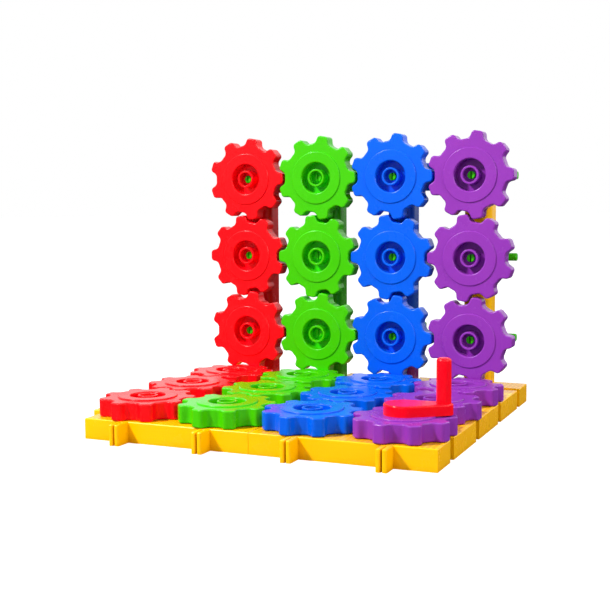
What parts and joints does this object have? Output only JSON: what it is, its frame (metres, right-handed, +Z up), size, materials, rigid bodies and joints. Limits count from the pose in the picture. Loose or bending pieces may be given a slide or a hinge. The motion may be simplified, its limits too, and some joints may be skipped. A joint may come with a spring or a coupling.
{
  "type": "gear building toy",
  "caption": "Crank-driven gear building toy: a square base covered with meshed lobed gears and an upright wall of gears on square pillars behind it.",
  "frame": {"origin": "centre of the whole model's footprint (plates, tabs and overhanging teeth), on the floor", "axes": "+X to the right along the front edge, +Y from the front edge to the wall of gears, +Z up"},
  "size_m": [0.3042, 0.3018, 0.2455],
  "materials": {
    "yellow_plastic": "glossy injection moulded plastic",
    "red_plastic": "glossy injection moulded plastic",
    "green_plastic": "glossy injection moulded plastic",
    "blue_plastic": "glossy injection moulded plastic",
    "purple_plastic": "glossy injection moulded plastic",
    "crank_red_plastic": "glossy injection moulded plastic"
  },
  "bodies": {
    "frame": {"base_plate_front_left": "yellow_plastic", "base_plate_front_right": "yellow_plastic", "base_plate_back_left": "yellow_plastic", "base_plate_back_right": "yellow_plastic", "cross_axle_1_low": "green_plastic", "cross_axle_1_mid": "green_plastic", "cross_axle_1_top": "green_plastic", "cross_axle_2_low": "green_plastic", "cross_axle_2_mid": "green_plastic", "cross_axle_2_top": "green_plastic", "cross_axle_3_low": "green_plastic", "cross_axle_3_mid": "green_plastic", "cross_axle_3_top": "green_plastic", "cross_axle_4_low": "green_plastic", "cross_axle_4_mid": "green_plastic", "cross_axle_4_top": "green_plastic", "pillar_1_low": "red_plastic", "pillar_1_mid": "red_plastic", "pillar_1_top": "red_plastic", "pillar_2_low": "green_plastic", "pillar_2_mid": "green_plastic", "pillar_2_top": "green_plastic", "pillar_3_low": "purple_plastic", "pillar_3_mid": "blue_plastic", "pillar_3_top": "blue_plastic", "pillar_4_low": "yellow_plastic", "pillar_4_mid": "yellow_plastic", "pillar_4_top": "yellow_plastic", "top_bar_1_2": "red_plastic", "top_bar_2_3": "green_plastic", "top_bar_3_4": "blue_plastic"},
    "flat_gear_red_front": {"flat_gear_red_front": "red_plastic"},
    "flat_gear_red_middle": {"flat_gear_red_middle": "red_plastic"},
    "flat_gear_red_back": {"flat_gear_red_back": "red_plastic"},
    "flat_gear_green_front": {"flat_gear_green_front": "green_plastic"},
    "flat_gear_green_middle": {"flat_gear_green_middle": "green_plastic"},
    "flat_gear_green_back": {"flat_gear_green_back": "green_plastic"},
    "flat_gear_blue_front": {"flat_gear_blue_front": "blue_plastic"},
    "flat_gear_blue_middle": {"flat_gear_blue_middle": "blue_plastic"},
    "flat_gear_blue_back": {"flat_gear_blue_back": "blue_plastic"},
    "crank_gear": {"flat_gear_purple_front": "purple_plastic", "crank": "crank_red_plastic"},
    "flat_gear_purple_middle": {"flat_gear_purple_middle": "purple_plastic"},
    "flat_gear_purple_back": {"flat_gear_purple_back": "purple_plastic"},
    "wall_gear_red_low": {"wall_gear_red_low": "red_plastic"},
    "wall_gear_red_mid": {"wall_gear_red_mid": "red_plastic"},
    "wall_gear_red_top": {"wall_gear_red_top": "red_plastic"},
    "wall_gear_green_low": {"wall_gear_green_low": "green_plastic"},
    "wall_gear_green_mid": {"wall_gear_green_mid": "green_plastic"},
    "wall_gear_green_top": {"wall_gear_green_top": "green_plastic"},
    "wall_gear_blue_low": {"wall_gear_blue_low": "blue_plastic"},
    "wall_gear_blue_mid": {"wall_gear_blue_mid": "blue_plastic"},
    "wall_gear_blue_top": {"wall_gear_blue_top": "blue_plastic"},
    "wall_gear_purple_low": {"wall_gear_purple_low": "purple_plastic"},
    "wall_gear_purple_mid": {"wall_gear_purple_mid": "purple_plastic"},
    "wall_gear_purple_top": {"wall_gear_purple_top": "purple_plastic"}
  },
  "joints": [
    {"name": "flat_gear_red_front_spin", "type": "hinge", "parent": "frame", "child": "flat_gear_red_front", "pos_m": [-0.10207, -0.1009, 0.0165], "axis": [0, 0, 1], "continuous": true},
    {"name": "flat_gear_red_middle_spin", "type": "hinge", "parent": "frame", "child": "flat_gear_red_middle", "pos_m": [-0.10207, -0.0289, 0.0165], "axis": [0, 0, 1], "continuous": true},
    {"name": "flat_gear_red_back_spin", "type": "hinge", "parent": "frame", "child": "flat_gear_red_back", "pos_m": [-0.10207, 0.0431, 0.0165], "axis": [0, 0, 1], "continuous": true},
    {"name": "flat_gear_green_front_spin", "type": "hinge", "parent": "frame", "child": "flat_gear_green_front", "pos_m": [-0.03008, -0.1009, 0.0165], "axis": [0, 0, 1], "continuous": true},
    {"name": "flat_gear_green_middle_spin", "type": "hinge", "parent": "frame", "child": "flat_gear_green_middle", "pos_m": [-0.03008, -0.0289, 0.0165], "axis": [0, 0, 1], "continuous": true},
    {"name": "flat_gear_green_back_spin", "type": "hinge", "parent": "frame", "child": "flat_gear_green_back", "pos_m": [-0.03008, 0.0431, 0.0165], "axis": [0, 0, 1], "continuous": true},
    {"name": "flat_gear_blue_front_spin", "type": "hinge", "parent": "frame", "child": "flat_gear_blue_front", "pos_m": [0.04192, -0.1009, 0.0165], "axis": [0, 0, 1], "continuous": true},
    {"name": "flat_gear_blue_middle_spin", "type": "hinge", "parent": "frame", "child": "flat_gear_blue_middle", "pos_m": [0.04192, -0.0289, 0.0165], "axis": [0, 0, 1], "continuous": true},
    {"name": "flat_gear_blue_back_spin", "type": "hinge", "parent": "frame", "child": "flat_gear_blue_back", "pos_m": [0.04192, 0.0431, 0.0165], "axis": [0, 0, 1], "continuous": true},
    {"name": "crank_turn", "type": "hinge", "parent": "frame", "child": "crank_gear", "pos_m": [0.11392, -0.1009, 0.0165], "axis": [0, 0, 1], "continuous": true},
    {"name": "flat_gear_purple_middle_spin", "type": "hinge", "parent": "frame", "child": "flat_gear_purple_middle", "pos_m": [0.11392, -0.0289, 0.0165], "axis": [0, 0, 1], "continuous": true},
    {"name": "flat_gear_purple_back_spin", "type": "hinge", "parent": "frame", "child": "flat_gear_purple_back", "pos_m": [0.11392, 0.0431, 0.0165], "axis": [0, 0, 1], "continuous": true},
    {"name": "wall_gear_red_low_spin", "type": "hinge", "parent": "frame", "child": "wall_gear_red_low", "pos_m": [-0.10207, 0.1151, 0.0635], "axis": [0, 1, 0], "continuous": true},
    {"name": "wall_gear_red_mid_spin", "type": "hinge", "parent": "frame", "child": "wall_gear_red_mid", "pos_m": [-0.10207, 0.1151, 0.1355], "axis": [0, 1, 0], "continuous": true},
    {"name": "wall_gear_red_top_spin", "type": "hinge", "parent": "frame", "child": "wall_gear_red_top", "pos_m": [-0.10207, 0.1151, 0.2075], "axis": [0, 1, 0], "continuous": true},
    {"name": "wall_gear_green_low_spin", "type": "hinge", "parent": "frame", "child": "wall_gear_green_low", "pos_m": [-0.03008, 0.1151, 0.0635], "axis": [0, 1, 0], "continuous": true},
    {"name": "wall_gear_green_mid_spin", "type": "hinge", "parent": "frame", "child": "wall_gear_green_mid", "pos_m": [-0.03008, 0.1151, 0.1355], "axis": [0, 1, 0], "continuous": true},
    {"name": "wall_gear_green_top_spin", "type": "hinge", "parent": "frame", "child": "wall_gear_green_top", "pos_m": [-0.03008, 0.1151, 0.2075], "axis": [0, 1, 0], "continuous": true},
    {"name": "wall_gear_blue_low_spin", "type": "hinge", "parent": "frame", "child": "wall_gear_blue_low", "pos_m": [0.04192, 0.1151, 0.0635], "axis": [0, 1, 0], "continuous": true},
    {"name": "wall_gear_blue_mid_spin", "type": "hinge", "parent": "frame", "child": "wall_gear_blue_mid", "pos_m": [0.04192, 0.1151, 0.1355], "axis": [0, 1, 0], "continuous": true},
    {"name": "wall_gear_blue_top_spin", "type": "hinge", "parent": "frame", "child": "wall_gear_blue_top", "pos_m": [0.04192, 0.1151, 0.2075], "axis": [0, 1, 0], "continuous": true},
    {"name": "wall_gear_purple_low_spin", "type": "hinge", "parent": "frame", "child": "wall_gear_purple_low", "pos_m": [0.11392, 0.1151, 0.0635], "axis": [0, 1, 0], "continuous": true},
    {"name": "wall_gear_purple_mid_spin", "type": "hinge", "parent": "frame", "child": "wall_gear_purple_mid", "pos_m": [0.11392, 0.1151, 0.1355], "axis": [0, 1, 0], "continuous": true},
    {"name": "wall_gear_purple_top_spin", "type": "hinge", "parent": "frame", "child": "wall_gear_purple_top", "pos_m": [0.11392, 0.1151, 0.2075], "axis": [0, 1, 0], "continuous": true}
  ],
  "couplings": [
    {"joint": "flat_gear_red_front_spin", "follows": "crank_turn", "ratio": -1},
    {"joint": "flat_gear_red_middle_spin", "follows": "crank_turn", "ratio": 1},
    {"joint": "flat_gear_red_back_spin", "follows": "crank_turn", "ratio": -1},
    {"joint": "flat_gear_green_front_spin", "follows": "crank_turn", "ratio": 1},
    {"joint": "flat_gear_green_middle_spin", "follows": "crank_turn", "ratio": -1},
    {"joint": "flat_gear_green_back_spin", "follows": "crank_turn", "ratio": 1},
    {"joint": "flat_gear_blue_front_spin", "follows": "crank_turn", "ratio": -1},
    {"joint": "flat_gear_blue_middle_spin", "follows": "crank_turn", "ratio": 1},
    {"joint": "flat_gear_blue_back_spin", "follows": "crank_turn", "ratio": -1},
    {"joint": "flat_gear_purple_middle_spin", "follows": "crank_turn", "ratio": -1},
    {"joint": "flat_gear_purple_back_spin", "follows": "crank_turn", "ratio": 1},
    {"joint": "wall_gear_red_low_spin", "follows": "crank_turn", "ratio": -1},
    {"joint": "wall_gear_red_mid_spin", "follows": "crank_turn", "ratio": 1},
    {"joint": "wall_gear_red_top_spin", "follows": "crank_turn", "ratio": -1},
    {"joint": "wall_gear_green_low_spin", "follows": "crank_turn", "ratio": 1},
    {"joint": "wall_gear_green_mid_spin", "follows": "crank_turn", "ratio": -1},
    {"joint": "wall_gear_green_top_spin", "follows": "crank_turn", "ratio": 1},
    {"joint": "wall_gear_blue_low_spin", "follows": "crank_turn", "ratio": -1},
    {"joint": "wall_gear_blue_mid_spin", "follows": "crank_turn", "ratio": 1},
    {"joint": "wall_gear_blue_top_spin", "follows": "crank_turn", "ratio": -1},
    {"joint": "wall_gear_purple_low_spin", "follows": "crank_turn", "ratio": 1},
    {"joint": "wall_gear_purple_mid_spin", "follows": "crank_turn", "ratio": -1},
    {"joint": "wall_gear_purple_top_spin", "follows": "crank_turn", "ratio": 1}
  ]
}
